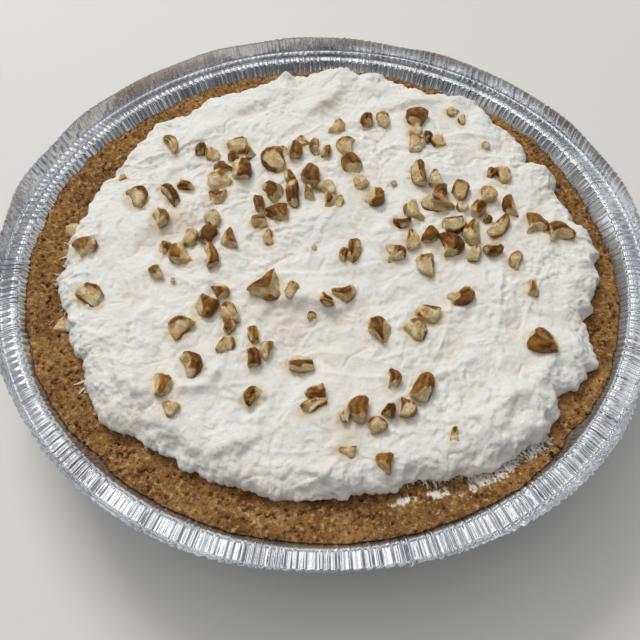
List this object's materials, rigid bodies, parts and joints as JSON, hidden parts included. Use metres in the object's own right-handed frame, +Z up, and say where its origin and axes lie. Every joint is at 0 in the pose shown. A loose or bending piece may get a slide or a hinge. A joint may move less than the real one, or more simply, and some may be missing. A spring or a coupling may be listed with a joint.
{
  "type": "pecan cream pie",
  "caption": "Whole round cream pie in its own crimped foil tin: crumb crust, a thick swirled layer of whipped cream and chopped pecans strewn on top.",
  "frame": {"origin": "middle of the tin's flat underside", "axes": "+Z up through the pie, -Y towards the front, +X to the right of someone who stands at the front"},
  "size_m": [0.2298, 0.2306, 0.0398],
  "materials": {
    "foil": "bright pleated foil",
    "crumb": "dry, coarse baked crumb",
    "cream": "soft matt whipped cream",
    "pecan": "satin brown skin with pale matt broken faces"
  },
  "bodies": {
    "root": {"foil_tin": "foil", "crumb_crust": "crumb", "whipped_cream": "cream", "pecan_01": "pecan", "pecan_02": "pecan", "pecan_03": "pecan", "pecan_04": "pecan", "pecan_05": "pecan", "pecan_06": "pecan", "pecan_07": "pecan", "pecan_08": "pecan", "pecan_09": "pecan", "pecan_10": "pecan", "pecan_11": "pecan", "pecan_12": "pecan", "pecan_13": "pecan", "pecan_14": "pecan", "pecan_15": "pecan", "pecan_16": "pecan", "pecan_17": "pecan", "pecan_18": "pecan", "pecan_19": "pecan", "pecan_20": "pecan", "pecan_21": "pecan", "pecan_22": "pecan", "pecan_23": "pecan", "pecan_24": "pecan", "pecan_25": "pecan", "pecan_26": "pecan", "pecan_27": "pecan", "pecan_28": "pecan"}
  },
  "joints": []
}
